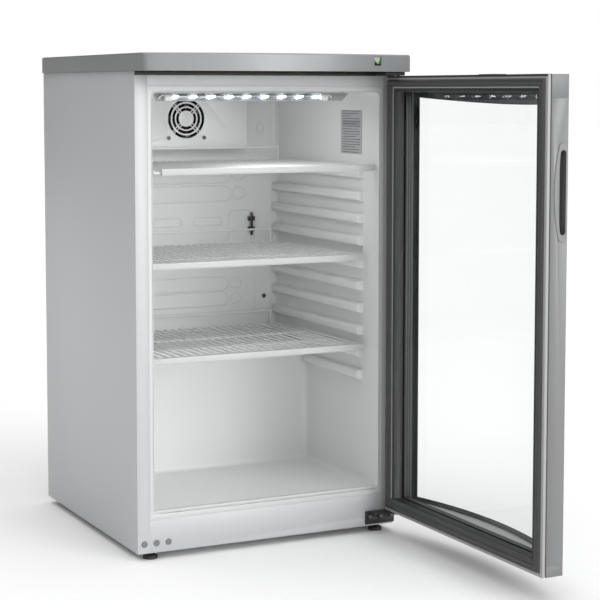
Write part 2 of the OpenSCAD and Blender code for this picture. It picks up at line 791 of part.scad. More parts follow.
module door_bottom_rail() color("silver") hang()
    difference() {
        bowed(0, door_w, frame_v, 0, door_z0, glass_z0);
        bush_hole(0);
    }

module door_inner_frame() color("white") hang()
    ring([0, 0, 0], [stile_w, bottom_rail_h, top_rail_h], 0, inner_t);

// The dark bead that holds the sealed unit, and the packing behind the inner frame
module door_bead() color("black") hang()
    difference() {
        union() {
            ring([stile_w, bottom_rail_h, top_rail_h],
                 [stile_w + bead_w, bead_low + bottom_rail_h, bead_w + top_rail_h], 0, pane_v);
            ring([1.5, 1.5, 1.5], [stile_w + bead_w, bead_low + bottom_rail_h, bead_w + top_rail_h],
                 inner_t, frame_v);
        }
        bush_hole(0.3);
    }

// A magnetic gasket with two soft ribs
module door_gasket() color("dimgray") hang() {
    outer = [gasket_in, gasket_in, gasket_in];
    inner = [gasket_in + gasket_w, gasket_in + gasket_low, gasket_in + gasket_w];
    ring(outer, inner, -1.6, 0);
    ring(outer, [gasket_in + 7, gasket_in + 8, gasket_in + 7], gasket_rest - seal_gap, -1.5);
    ring([gasket_in + 10, gasket_in + 12, gasket_in + 10], inner, 2.5 - seal_gap, -1.5);
}

module pane(v)
    slab(stile_w + seat, door_w - stile_w - seat, v, v + pane_t, glass_z0 + seat, glass_z1 - seat);

module flat_panes() color("lightcyan") hang() {
    pane(pane_v);
    pane(pane_v2);
}

module spacer_bar() color("gray") hang()
    ring([stile_w + seat, bottom_rail_h + seat, top_rail_h + seat],
         [stile_w + bead_w + seat, bottom_rail_h + 8, top_rail_h + bead_w + seat],
         pane_v + pane_t, pane_v2);

// The bowed front pane, between the stiles
module glass_outer() color("lightcyan") hang()
    difference() {
        bowed(stile_w + seat, door_w - stile_w - seat, frame_v, 0.5, glass_z0 + seat, glass_z1 - seat);
        bowed(0, door_w, 0, 0.5 + pane_t, glass_z0 - over, glass_z1 + over);
    }

// ---- Handle ----

// Half of a D: straight along the door's front edge and bowed the other way. v0 is its widest point.
module d_shape(v0, v1, h, sag, x, t)
    intersection() {
        r = (h * h / 4 + sag * sag) / (2 * sag);
        block([x, -seal_gap - v1, handle_z - h / 2], [x + t, -seal_gap - v0 + over, handle_z + h / 2]);
        translate([x - over, -seal_gap - v0 - r, handle_z]) rotate([0, 90, 0])
            cylinder(r = r, h = t + 2 * over, $fn = 180);
    }

module handle_plate() color("silver") hang()
    difference() {
        d_shape(13, door_t - 0.6, handle_h, 12, door_x0 - plate_out, plate_out);
        d_shape(cup_v0, door_t - 1.8, cup_h, 6, door_x0 - plate_out - over, plate_out + 2 * over);
    }

module handle_cup() color("dimgray") hang()
    difference() {
        slab(door_w - stile_w + 3, door_w, cup_v0 - 2.6, door_t - 1, handle_z - cup_h / 2 - 1.6, handle_z + cup_h / 2 + 1.6);
        slab(door_w - stile_w + 5, door_w + over, cup_v0, door_t - 1.8, handle_z - cup_h / 2, handle_z + cup_h / 2);
    }

module door_bushes() color("white") hang()
    for (z = [door_z0, door_z1 - bush_h])
        difference() {
            rod_z([hinge_x, hinge_y, z], bush_h, bush_r);
            rod_z([hinge_x, hinge_y, z - over], bush_h + 2 * over, pin_r + bush_fit);
        }

side_panel_left();
side_panel_right();
back_panel();
top_panel();
front_top_rail();
front_apron();
base_pan();
bay_partition();
inner_liner();
insulation_foam();
worktop();
worktop_core();
controller_box();
display_window();
evaporator_plate();
fan_cover();
fan_housing();
fan_screws();
fan_rotor();
lamp_plate();
lamp_tube();
led_strip();
rating_label();
probe_and_clips();
hole_plugs();
lower_hinge_bracket();
lower_hinge_bolts();
lower_hinge_pin();
upper_hinge_bracket();
upper_hinge_pin();
compressor();
compressor_mounts();
terminal_box();
condenser();
filter_dryer();
refrigerant_pipes();
drip_tray();
cord_gland();
foot_front_left();
foot_front_right();
rear_feet();
shelf_1_grid();
shelf_1_trim();
shelf_2_grid();
shelf_2_trim();
shelf_3_grid();
shelf_3_trim();
door_stile_hinge();
door_stile_latch();
door_top_rail();
door_bottom_rail();
door_inner_frame();
door_bead();
door_gasket();
flat_panes();
spacer_bar();
glass_outer();
handle_plate();
handle_cup();
door_bushes();
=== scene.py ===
# %% [markdown]
# # A small glass-door fridge
# This notebook dresses the engineering model of an under counter bottle cooler. The model gives every
# piece its place and size, and here each piece gets its rounded edges, its finish and its light. The door
# stands open at rest, so both the white room inside and the door's own layers can be seen.

import json
import math

import bmesh
import bpy
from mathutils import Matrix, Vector

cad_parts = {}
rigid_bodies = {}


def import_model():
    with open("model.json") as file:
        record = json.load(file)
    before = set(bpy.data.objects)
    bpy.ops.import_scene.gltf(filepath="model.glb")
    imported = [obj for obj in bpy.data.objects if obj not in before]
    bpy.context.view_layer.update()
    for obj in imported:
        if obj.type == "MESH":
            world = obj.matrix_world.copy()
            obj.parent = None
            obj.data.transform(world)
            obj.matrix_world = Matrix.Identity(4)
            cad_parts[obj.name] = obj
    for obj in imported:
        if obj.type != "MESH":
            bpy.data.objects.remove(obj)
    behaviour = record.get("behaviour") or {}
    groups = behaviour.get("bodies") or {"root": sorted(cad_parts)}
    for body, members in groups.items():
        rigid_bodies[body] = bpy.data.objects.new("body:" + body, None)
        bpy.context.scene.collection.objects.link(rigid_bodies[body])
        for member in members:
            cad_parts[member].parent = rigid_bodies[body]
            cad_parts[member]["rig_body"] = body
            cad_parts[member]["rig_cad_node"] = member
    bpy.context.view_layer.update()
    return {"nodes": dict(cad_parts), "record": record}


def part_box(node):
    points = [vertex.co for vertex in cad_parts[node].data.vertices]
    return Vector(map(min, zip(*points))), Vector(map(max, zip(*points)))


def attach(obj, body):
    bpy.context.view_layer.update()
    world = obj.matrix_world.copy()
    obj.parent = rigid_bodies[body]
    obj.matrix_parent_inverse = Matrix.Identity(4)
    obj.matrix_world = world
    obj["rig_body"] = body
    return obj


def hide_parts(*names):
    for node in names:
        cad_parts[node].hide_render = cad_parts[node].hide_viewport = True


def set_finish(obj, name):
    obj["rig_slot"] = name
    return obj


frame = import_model()

# %% [markdown]
# All lengths on a fridge's drawing are in millimetres, counted from the cabinet's front left corner at
# the floor. Blender works in metres, so two small functions turn the drawing's numbers into places: one
# for the cabinet and one for the door. The door's numbers are u, from its hinged edge, and v, outwards
# from its inner face.

# %% Places on the cabinet and on the door
MM = 0.001
cabinet_low, cabinet_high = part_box("side_panel_left")
door_low, door_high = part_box("door_inner_frame")


def on_cabinet(x, y, z):
    return Vector((cabinet_low.x + x * MM, cabinet_low.y + y * MM, z * MM))


def on_door(u, v, z):
    return Vector((door_low.x + v * MM, door_high.y - u * MM, z * MM))


def size_of(node):
    low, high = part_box(node)
    return [round((high[i] - low[i]) / MM, 1) for i in range(3)]


cabinet_width = round((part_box("side_panel_right")[1].x - cabinet_low.x) / MM, 2)
door_width = size_of("door_inner_frame")[1]
door_bottom = round(door_low.z / MM, 2)
door_top = round(door_high.z / MM, 2)
print("cabinet", cabinet_width, "door", door_width, door_bottom, door_top)

# %% The finish that the record gives each node
slot_of = {}
for entry in frame["record"]["subparts"]:
    slot_of[entry["node"]] = entry["material_slot"]
body_of = {name: piece["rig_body"] for name, piece in frame["nodes"].items()}
print(len(slot_of), "nodes with a slot")

# %% [markdown]
# Most of the shaping below is done with a few habits. An operator works on all that is selected, so
# everything is deselected first. Faces or edges are then picked in code by where they are and which way
# they point. Doing this with small helpers keeps each later cell short.

# %% Selecting and picking


def take(piece):
    if bpy.context.object and bpy.context.object.mode != "OBJECT":
        bpy.ops.object.mode_set(mode="OBJECT")
    bpy.ops.object.select_all(action="DESELECT")
    piece.select_set(True)
    bpy.context.view_layer.objects.active = piece


def pick_faces(piece, wanted):
    take(piece)
    bpy.ops.object.mode_set(mode="EDIT")
    bpy.ops.mesh.select_mode(type="FACE")
    bpy.ops.mesh.select_all(action="DESELECT")
    mesh = bmesh.from_edit_mesh(piece.data)
    for face in mesh.faces:
        face.select = wanted(face.calc_center_median(), face.normal)
    bmesh.update_edit_mesh(piece.data)


def pick_edges(piece, wanted):
    take(piece)
    bpy.ops.object.mode_set(mode="EDIT")
    bpy.ops.mesh.select_mode(type="EDGE")
    bpy.ops.mesh.select_all(action="DESELECT")
    mesh = bmesh.from_edit_mesh(piece.data)
    for edge in mesh.edges:
        start, end = edge.verts[0].co, edge.verts[1].co
        edge.select = wanted((start + end) / 2, (end - start).normalized())
    bmesh.update_edit_mesh(piece.data)


def leave_edit():
    bpy.ops.object.mode_set(mode="OBJECT")


# %% Blocks, round bars, bevels and cuts


def apply_place(piece):
    take(piece)
    bpy.ops.object.transform_apply(location=True, rotation=True, scale=True)


def block(name, low, high):
    bpy.ops.object.select_all(action="DESELECT")
    bpy.ops.mesh.primitive_cube_add(size=1, location=(low + high) / 2)
    piece = bpy.context.object
    piece.name = name
    piece.scale = (abs(high.x - low.x), abs(high.y - low.y), abs(high.z - low.z))
    apply_place(piece)
    return piece


def bar(name, start, end, radius, sides=24):
    bpy.ops.object.select_all(action="DESELECT")
    way = end - start
    bpy.ops.mesh.primitive_cylinder_add(
        vertices=sides, radius=radius, depth=way.length, location=(start + end) / 2
    )
    piece = bpy.context.object
    piece.name = name
    piece.rotation_euler = way.to_track_quat("Z", "Y").to_euler()
    apply_place(piece)
    return piece


def add_modifier(piece, kind, **settings):
    take(piece)
    made = piece.modifiers.new(kind.title(), kind)
    for key, value in settings.items():
        setattr(made, key, value)
    bpy.ops.object.modifier_apply(modifier=made.name)
    return piece


def round_edges(piece, width, segments=2, angle=35):
    return add_modifier(
        piece,
        "BEVEL",
        width=width * MM,
        segments=segments,
        limit_method="ANGLE",
        angle_limit=math.radians(angle),
    )


def cut_away(piece, cutter):
    add_modifier(piece, "BOOLEAN", operation="DIFFERENCE", object=cutter, solver="EXACT")
    bpy.data.objects.remove(cutter)
    return piece


def smooth(piece, angle=35):
    take(piece)
    bpy.ops.object.shade_smooth_by_angle(angle=math.radians(angle))
    return piece


def join(name, pieces):
    take(pieces[0])
    for piece in pieces[1:]:
        piece.select_set(True)
    bpy.ops.object.join()
    pieces[0].name = name
    return pieces[0]


# %% Tubes along a path


def tube(name, points, radius, closed=False, sides=3):
    data = bpy.data.curves.new(name, "CURVE")
    data.dimensions = "3D"
    data.bevel_depth = radius
    data.bevel_resolution = sides
    data.use_fill_caps = not closed
    line = data.splines.new("POLY")
    line.points.add(len(points) - 1)
    for spot, place in zip(line.points, points):
        spot.co = (place.x, place.y, place.z, 1)
    line.use_cyclic_u = closed
    piece = bpy.data.objects.new(name, data)
    bpy.context.scene.collection.objects.link(piece)
    take(piece)
    bpy.ops.object.convert(target="MESH")
    return smooth(bpy.context.object, 50)


def arc(centre, side_one, side_two, first, last, steps):
    turn = [first + (last - first) * i / steps for i in range(steps + 1)]
    return [centre + side_one * math.cos(a) + side_two * math.sin(a) for a in turn]


# %% [markdown]
# A node of the engineering model is a cloud of loose triangles with razor-sharp edges. Real sheet and
# mouldings have a small radius that catches the light. A copy is merged, its flat faces are made whole
# again, and its edges are bevelled. The copy then stands for the node, rides on the same body and takes
# the same slot.

# %% Worked copies of engineering nodes


def settle(piece, body, slot, replaced=None):
    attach(piece, body)
    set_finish(piece, slot)
    if replaced:
        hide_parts(replaced)
    return piece


def worked_copy(node, edge=0.5, segments=2, angle=40):
    source = frame["nodes"][node]
    piece = bpy.data.objects.new(node + "_worked", source.data.copy())
    bpy.context.scene.collection.objects.link(piece)
    take(piece)
    bpy.ops.object.mode_set(mode="EDIT")
    bpy.ops.mesh.select_all(action="SELECT")
    bpy.ops.mesh.remove_doubles(threshold=0.00001)
    bpy.ops.mesh.dissolve_limited(angle_limit=math.radians(0.2))
    leave_edit()
    if edge:
        round_edges(piece, edge, segments, angle)
    smooth(piece, 40)
    settle(piece, body_of[node], slot_of[node], node)
    return piece


# %% [markdown]
# Finishes come next. Shader sums are easier to read as Python sums, so one small class wraps a socket and
# adds the Math node behind each operator. Any other node is made by the same method, which takes the
# node's type, its settings and what its sockets get.

# %% A socket that can be used in sums


class Shade:
    def __init__(self, tree, socket):
        self.tree = tree
        self.socket = socket

    def node(self, kind, settings, inputs, output=0):
        made = self.tree.nodes.new(kind)
        for key, value in settings.items():
            setattr(made, key, value)
        for key, value in inputs.items():
            if isinstance(value, Shade):
                self.tree.links.new(value.socket, made.inputs[key])
            else:
                made.inputs[key].default_value = value
        return Shade(self.tree, made.outputs[output])

    def math(self, operation, first, second):
        return self.node("ShaderNodeMath", {"operation": operation}, {0: first, 1: second})

    def __add__(self, other):
        return self.math("ADD", self, other)

    def __radd__(self, other):
        return self.math("ADD", other, self)

    def __sub__(self, other):
        return self.math("SUBTRACT", self, other)

    def __rsub__(self, other):
        return self.math("SUBTRACT", other, self)

    def __mul__(self, other):
        return self.math("MULTIPLY", self, other)

    def __rmul__(self, other):
        return self.math("MULTIPLY", other, self)

    def __gt__(self, other):
        return self.math("GREATER_THAN", self, other)

    def __lt__(self, other):
        return self.math("LESS_THAN", self, other)


def feed(value, socket):
    value.tree.links.new(value.socket, socket)


# %% The parts every finish is made from


def new_finish(name):
    finish = bpy.data.materials.new(name)
    finish.use_nodes = True
    tree = finish.node_tree
    shader = tree.nodes["Principled BSDF"]
    spot = Shade(tree, tree.nodes.new("ShaderNodeTexCoord").outputs["Object"])
    return finish, shader, spot


def stretched(spot, scale):
    return spot.node("ShaderNodeMapping", {}, {"Vector": spot, "Scale": scale})


def clouds(spot, scale, detail=2.0):
    inputs = {"Vector": spot, "Scale": scale, "Detail": detail}
    return spot.node("ShaderNodeTexNoise", {}, inputs)


def blended(amount, first, second):
    settings = {"data_type": "RGBA"}
    inputs = {0: amount, 6: first, 7: second}
    return amount.node("ShaderNodeMix", settings, inputs, 2)


def axes(spot):
    parts = spot.node("ShaderNodeSeparateXYZ", {}, {0: spot})
    node = parts.socket.node
    return [Shade(spot.tree, node.outputs[i]) for i in range(3)]


def tinted(colour, share):
    return tuple(min(1.0, c * share) for c in colour) + (1.0,)


def raised(shader, height, distance, strength=1.0):
    inputs = {"Height": height, "Distance": distance * MM, "Strength": strength}
    feed(height.node("ShaderNodeBump", {}, inputs), shader.inputs["Normal"])


# %% A surface finish: a colour that drifts, a grain and a shine


def surface(
    name, colour, rough, metallic=0.0, grain=900.0, depth=0.02, drift=0.03, along=(1, 1, 1), coat=0.0
):
    finish, shader, spot = new_finish(name)
    fine = clouds(stretched(spot, along), grain)
    broad = clouds(spot, 5.0, 3.0)
    tone = broad * 0.7 + fine * 0.3
    feed(blended(tone, tinted(colour, 1 - drift), tinted(colour, 1 + drift)), shader.inputs["Base Color"])
    feed(rough - 0.06 + fine * 0.08 + broad * 0.04, shader.inputs["Roughness"])
    raised(shader, fine, depth)
    shader.inputs["Metallic"].default_value = metallic
    shader.inputs["Coat Weight"].default_value = coat
    shader.inputs["Coat Roughness"].default_value = 0.12
    return finish


# %% [markdown]
# The cabinet is powder-coated sheet in a very light silver, with the faint orange peel such a coat dries
# with. The worktop and the door's frame are silver: the first is a mica-filled plastic, the second a
# lacquered profile with fine lines along its length. The liner is a vacuum-formed white plastic that is a
# little glossy.

# %% Finishes of the cabinet and the door
looks = {
    "cabinet_paint": surface("cabinet_paint", (0.50, 0.507, 0.515), 0.42, 0.15, 420, 0.03, 0.02),
    "bare_sheet": surface("bare_sheet", (0.55, 0.56, 0.57), 0.38, 0.85, 130, 0.02, 0.10, (1, 1, 0.2)),
    "liner_plastic": surface("liner_plastic", (0.73, 0.735, 0.735), 0.32, 0.0, 300, 0.03, 0.012),
    "foam": surface("foam", (0.62, 0.50, 0.24), 0.9, 0.0, 700, 0.3, 0.12),
    "worktop_plastic": surface(
        "worktop_plastic", (0.235, 0.239, 0.243), 0.30, 0.25, 2200, 0.012, 0.05, coat=0.3
    ),
    "board": surface("board", (0.42, 0.29, 0.17), 0.8, 0.0, 300, 0.2, 0.2, (0.2, 1, 1)),
    "black_plastic": surface("black_plastic", (0.018, 0.018, 0.019), 0.42, 0.0, 1500, 0.05, 0.1),
    "display_plastic": surface(
        "display_plastic", (0.012, 0.013, 0.013), 0.08, 0.0, 200, 0.002, 0.1, coat=1.0
    ),
    "door_silver": surface(
        "door_silver", (0.215, 0.217, 0.22), 0.42, 0.25, 600, 0.02, 0.04, (1, 1, 0.02)
    ),
    "cap_silver": surface("cap_silver", (0.18, 0.182, 0.185), 0.42, 0.15, 1800, 0.015, 0.04),
    "frame_white": surface("frame_white", (0.36, 0.364, 0.364), 0.40, 0.0, 600, 0.02, 0.015),
    "gasket_rubber": surface("gasket_rubber", (0.050, 0.051, 0.052), 0.46, 0.0, 900, 0.06, 0.12),
    "spacer_metal": surface("spacer_metal", (0.012, 0.012, 0.0125), 0.6, 0.0, 500, 0.02, 0.08),
    "cup_plastic": surface("cup_plastic", (0.15, 0.152, 0.155), 0.48, 0.0, 1200, 0.05, 0.1),
    "bush_plastic": surface("bush_plastic", (0.7, 0.7, 0.68), 0.4, 0.0, 900, 0.02, 0.03),
}
print(len(looks), "finishes so far")

# %% [markdown]
# The smaller parts have their own finishes: zinc-plated screws, black lacquered hinge parts, copper pipe
# that has darkened in places, rubber mounts, and shelves of steel wire dipped in white plastic.

# %% Finishes of the smaller parts
looks.update(
    {
        "evaporator_aluminium": surface(
            "evaporator_aluminium", (0.75, 0.76, 0.77), 0.35, 0.9, 300, 0.03, 0.05
        ),
        "screw_steel": surface("screw_steel", (0.10, 0.10, 0.105), 0.35, 0.8, 900, 0.03, 0.15),
        "lamp_metal": surface("lamp_metal", (0.36, 0.37, 0.38), 0.45, 0.3, 700, 0.02, 0.04),
        "plug_plastic": surface("plug_plastic", (0.16, 0.163, 0.166), 0.45, 0.0, 900, 0.03, 0.05),
        "hinge_black": surface("hinge_black", (0.022, 0.022, 0.023), 0.34, 0.3, 800, 0.05, 0.1),
        "pin_steel": surface("pin_steel", (0.5, 0.5, 0.5), 0.25, 1.0, 500, 0.01, 0.05, (1, 1, 0.1)),
        "compressor_paint": surface(
            "compressor_paint", (0.016, 0.016, 0.017), 0.30, 0.1, 260, 0.12, 0.1, coat=0.2
        ),
        "mount_rubber": surface("mount_rubber", (0.03, 0.03, 0.03), 0.7, 0.0, 900, 0.08, 0.15),
        "copper": surface("copper", (0.58, 0.27, 0.15), 0.32, 1.0, 120, 0.02, 0.25),
        "tray_plastic": surface("tray_plastic", (0.70, 0.71, 0.71), 0.45, 0.0, 600, 0.03, 0.03),
        "foot_plastic": surface("foot_plastic", (0.02, 0.02, 0.021), 0.5, 0.0, 1000, 0.06, 0.15),
        "shelf_coating": surface("shelf_coating", (0.70, 0.705, 0.705), 0.28, 0.0, 500, 0.03, 0.015),
        "trim_plastic": surface("trim_plastic", (0.55, 0.555, 0.555), 0.35, 0.0, 700, 0.02, 0.012),
    }
)
print(len(looks), "finishes so far")

# %% [markdown]
# Glass is nearly invisible seen straight on and mirrors more and more towards a grazing view. Mixing a
# clear shader with a mirror by how much the surface faces the eye gives just that, and it lets light
# through to the floor, which a refracting shader doesn't do well. The bowed pane also has a black print
# round its edge that hides the frame.

# %% Glass, the black print and clear plastic


def clear_mix(spot, tint, least):
    facing = spot.node("ShaderNodeLayerWeight", {}, {"Blend": 0.5}, 1)
    outer_face = 1 - spot.node("ShaderNodeNewGeometry", {}, {}, 6)
    fresnel = (least + (0.7 - least) * facing.math("POWER", facing, 5.0)) * outer_face
    clear = spot.node("ShaderNodeBsdfTransparent", {}, {"Color": tint})
    mirror = spot.node("ShaderNodeBsdfGlossy", {}, {"Color": (1, 1, 1, 1), "Roughness": 0.03})
    return spot.node("ShaderNodeMixShader", {}, {0: fresnel, 1: clear, 2: mirror})


def show(finish, shade):
    feed(shade, finish.node_tree.nodes["Material Output"].inputs["Surface"])


CLEAR_TINT = (0.996, 1.0, 0.999, 1)
LEAST_MIRROR = 0.02
pane_glass, spare, spot = new_finish("pane_glass")
show(pane_glass, clear_mix(spot, CLEAR_TINT, LEAST_MIRROR))
looks["pane_glass"] = pane_glass

clear_tube, spare, spot = new_finish("clear_tube")
show(clear_tube, clear_mix(spot, (0.93, 0.94, 0.95, 1), 0.08))
looks["clear_tube"] = clear_tube

PRINT_SIDE = 9.0
PRINT_BOTTOM = 7.5
PRINT_TOP = 14.5
PRINT_SAG = 11.5
PRINT_MIDDLE = 310
PRINT_HALF = 290
pane_low, pane_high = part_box("glass_outer")
printed_glass, ink, spot = new_finish("printed_glass")
along_y, along_z = axes(spot)[1:]
inside = (along_y > pane_low.y + PRINT_SIDE * MM) * (along_y < pane_high.y - PRINT_SIDE * MM)
sag_middle = on_door(PRINT_MIDDLE, 0, 0).y
sag_way = (along_y - sag_middle) * (1 / (PRINT_HALF * MM))
print_edge = pane_high.z - PRINT_TOP * MM - PRINT_SAG * MM * (1 - sag_way * sag_way)
inside = inside * (along_z > pane_low.z + PRINT_BOTTOM * MM) * (along_z < print_edge)
ink.inputs["Base Color"].default_value = (0.010, 0.010, 0.011, 1)
ink.inputs["Coat Weight"].default_value = 1.0
feed(0.16 + clouds(spot, 60.0) * 0.06, ink.inputs["Roughness"])
clear = clear_mix(spot, CLEAR_TINT, LEAST_MIRROR)
print_shade = Shade(spot.tree, ink.outputs[0])
show(printed_glass, spot.node("ShaderNodeMixShader", {}, {0: inside, 1: print_shade, 2: clear}))
print("clear glass up to", round(pane_high.z / MM - PRINT_TOP))

# %% [markdown]
# The rating label is a grey film with rows of small print. No words belong on this model, so the rows are
# plain ruled lines of different lengths. Each row gets its length from a noise that is read once per row.

# %% The label, the lights and the little display
label_low, label_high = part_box("rating_label")
ROW = 4.6
MARGIN = 0.08
label_film, film, spot = new_finish("label_film")
along_y, along_z = axes(spot)[1:]
row = (label_high.z - along_z) * (1 / (ROW * MM))
row_number = row.math("FLOOR", row, 0.0)
in_line = (row.math("FRACT", row, 0.0) < 0.42) * (row.math("FRACT", row, 0.0) > 0.16)
row_spot = row_number.node("ShaderNodeCombineXYZ", {}, {0: row_number * 3.7, 1: 1.3, 2: 0.0})
length = clouds(row_spot, 1.0, 0.0)
across = (label_high.y - along_y) * (1 / (label_high.y - label_low.y))
row_end = 0.25 + length * 1.2
line = in_line * (across > MARGIN) * (across < row_end) * (across < 1 - MARGIN)
band = (row_number > 3.0) * (row_number < 6.0) * (across > MARGIN) * (across < 1 - MARGIN) * 0.35
dark = line.math("MAXIMUM", line * 0.95, band)
paper = blended(clouds(spot, 300.0), (0.40, 0.41, 0.42, 1), (0.44, 0.45, 0.46, 1))
feed(blended(dark, paper, (0.06, 0.065, 0.07, 1)), film.inputs["Base Color"])
feed(0.34 + clouds(spot, 200.0) * 0.1, film.inputs["Roughness"])
looks["label_film"] = label_film


def glowing(name, colour, strength):
    finish, shader, spot = new_finish(name)
    glow = clouds(spot, 400.0)
    feed(blended(glow, tinted(colour, 0.92), tinted(colour, 1.0)), shader.inputs["Emission Color"])
    shader.inputs["Base Color"].default_value = colour + (1,)
    shader.inputs["Emission Strength"].default_value = strength
    return finish


looks["led_board"] = glowing("led_board", (0.95, 0.97, 1.0), 9.0)
board = looks["led_board"].node_tree
board_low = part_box("led_strip")[0]
LED_PITCH = 33 * MM
FIRST_LED = 8.5 * MM
spot = Shade(board, board.nodes["Texture Coordinate"].outputs["Object"])
along_x = axes(spot)[0]
phase = (along_x - board_low.x + FIRST_LED + 20 * LED_PITCH) * (1 / LED_PITCH)
phase = phase.math("FRACT", phase, 0.0)
chip = (phase > 0.34) * (phase < 0.66)
light = blended(chip, (0.0, 0.0, 0.0, 1), (0.95, 0.97, 1.0, 1))
feed(light, board.nodes["Principled BSDF"].inputs["Emission Color"])
digit_glow = glowing("digit_glow", (0.12, 0.62, 0.16), 1.0)
print(len(looks), "finishes by slot")

# %% [markdown]
# The cabinet's body is folded sheet. Worked copies with a bend radius of just over a millimetre stand for
# the two sides, the rail over the opening and the apron under it, so that the seams between them show as
# fine dark lines.

# %% Sheet pieces of the cabinet
dressed = {}
for node, edge in {
    "side_panel_left": 1.1,
    "side_panel_right": 1.1,
    "front_top_rail": 0.7,
    "front_apron": 0.7,
    "back_panel": 0.3,
    "base_pan": 0.4,
    "top_panel": 0.3,
}.items():
    dressed[node] = worked_copy(node, edge, 2)
    print(node, len(dressed[node].data.polygons), "faces")

# %% [markdown]
# The worktop is one moulding with a bowed front. Its upper edge has a generous radius and its lower edge
# a small one. Only the upper edge is bevelled here.

# %% The worktop
WORKTOP_BEND = 3.2
worktop = worked_copy("worktop", 0, 1)
top_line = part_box("worktop")[1].z - 0.5 * MM
pick_edges(worktop, lambda middle, way: middle.z > top_line and abs(way.z) < 0.1)
mesh = bmesh.from_edit_mesh(worktop.data)
for edge in mesh.edges:
    if edge.select:
        edge.select = edge.calc_face_angle(0) > math.radians(60)
bmesh.update_edit_mesh(worktop.data)
bpy.ops.mesh.bevel(offset=WORKTOP_BEND * MM, segments=4, affect="EDGES")
leave_edit()
smooth(worktop, 35)
print("worktop", len(worktop.data.polygons), "faces")

# %% [markdown]
# The room is vacuum-formed: one sheet of white plastic drawn into a box with soft corners, stepped at the
# back over the compressor. It is modelled the same way. A block is split where the step is, its front
# half is drawn down to the floor, the front is opened, the corners are rounded, and the skin then gets
# its thickness outwards.

# %% The liner's walls
room_low, room_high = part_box("inner_liner")
WALL = 30.5
ROOM_DEPTH = 412.5
STEP_DEPTH = 278.5
ROOM_TOP = round(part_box("fan_cover")[1].z / MM, 2)
FLOOR = round(ROOM_TOP - 698, 2)
STEP_TOP = 306.5
SKIN = 1.5
LINER_BEND = 9.0
upper_low = on_cabinet(WALL, 0, STEP_TOP)
upper_high = on_cabinet(cabinet_width - WALL, ROOM_DEPTH, ROOM_TOP)
room = block("liner_walls", upper_low, upper_high)
take(room)
bpy.ops.object.mode_set(mode="EDIT")
bpy.ops.mesh.select_all(action="SELECT")
bpy.ops.mesh.bisect(plane_co=on_cabinet(0, STEP_DEPTH, 0), plane_no=(0, 1, 0))
leave_edit()
step_y = on_cabinet(0, STEP_DEPTH, 0).y
pick_faces(room, lambda middle, way: way.z < -0.9 and middle.y < step_y)
bpy.ops.mesh.extrude_region_move(TRANSFORM_OT_translate={"value": (0, 0, (FLOOR - STEP_TOP) * MM)})
leave_edit()
pick_faces(room, lambda middle, way: way.y < -0.9)
bpy.ops.mesh.delete(type="FACE")
leave_edit()
take(room)
bpy.ops.object.mode_set(mode="EDIT")
bpy.ops.mesh.select_all(action="SELECT")
bpy.ops.mesh.remove_doubles(threshold=0.00001)
bpy.ops.mesh.dissolve_limited(angle_limit=math.radians(1))
leave_edit()
front = cabinet_low.y + 1 * MM
pick_edges(room, lambda middle, way: middle.y > front)
bpy.ops.mesh.bevel(offset=LINER_BEND * MM, segments=5, affect="EDGES")
bpy.ops.mesh.select_all(action="SELECT")
bpy.ops.mesh.normals_make_consistent(inside=True)
leave_edit()
add_modifier(room, "SOLIDIFY", thickness=SKIN * MM, offset=-1.0)
smooth(room, 40)
settle(room, "cabinet", "liner_plastic", "inner_liner")
print("liner", [round(value / MM) for value in room.dimensions])

# %% [markdown]
# Foam fills the space behind the liner. Where the liner rounds the step, sharp foam would come through
# the bend, so a worked copy of the foam gets that one edge bevelled.

# %% The foam under the step
foam = worked_copy("insulation_foam", 0, 1)
FOAM_BEND = 7.0
step_edge = on_cabinet(0, STEP_DEPTH + SKIN, STEP_TOP - SKIN)
near = 0.3 * MM
pick_edges(
    foam,
    lambda middle, way: abs(middle.y - step_edge.y) < near and abs(middle.z - step_edge.z) < near,
)
bpy.ops.mesh.bevel(offset=FOAM_BEND * MM, segments=3, affect="EDGES")
leave_edit()
print("foam", len(foam.data.polygons), "faces")

# %% [markdown]
# Ten ledges are drawn into each side wall. A ledge has a round nose, a flat top and a rounded front end.
# One is modelled with its edges bevelled almost to a half round, then copied down the wall and mirrored
# across.

# %% The ledges in the side walls
LEDGES = 10
LEDGE_OUT = 13.0
LEDGE_HIGH = 17.0
LEDGE_FRONT = 57.0
LEDGE_BEND = 7.2
TOP_LEDGE = 641.0
PITCH = 40.0


def ledge(name, top, depth, mirrored):
    low = on_cabinet(WALL - 1, LEDGE_FRONT, top - LEDGE_HIGH)
    high = on_cabinet(WALL + LEDGE_OUT, depth - 3, top)
    piece = block(name, low, high)
    nose = high.x
    pick_edges(piece, lambda middle, way: abs(middle.x - nose) < 0.0001)
    bpy.ops.mesh.bevel(offset=LEDGE_BEND * MM, segments=5, affect="EDGES")
    bpy.ops.mesh.select_all(action="DESELECT")
    leave_edit()
    if mirrored:
        middle = on_cabinet(cabinet_width / 2, 0, 0).x
        take(piece)
        bpy.ops.object.mode_set(mode="EDIT")
        bpy.ops.mesh.select_all(action="SELECT")
        bpy.ops.transform.mirror(
            constraint_axis=(True, False, False), center_override=(middle, 0, 0), orient_type="GLOBAL"
        )
        bpy.ops.mesh.normals_make_consistent(inside=False)
        leave_edit()
    return piece


all_ledges = []
for i in range(LEDGES):
    top = TOP_LEDGE - i * PITCH
    depth = ROOM_DEPTH if top > STEP_TOP else STEP_DEPTH
    all_ledges.append(ledge("ledge", top, depth, False))
    all_ledges.append(ledge("ledge", top, depth, True))
ledges = smooth(join("liner_ledges", all_ledges), 45)
settle(ledges, "cabinet", "liner_plastic")
print("ledges", len(ledges.data.polygons), "faces")

# %% [markdown]
# The liner turns outwards at the opening into a flat rim, which the door's gasket lands on. It is a plate
# with the opening cut out of it. A low sill runs along the front of the floor to hold back water.

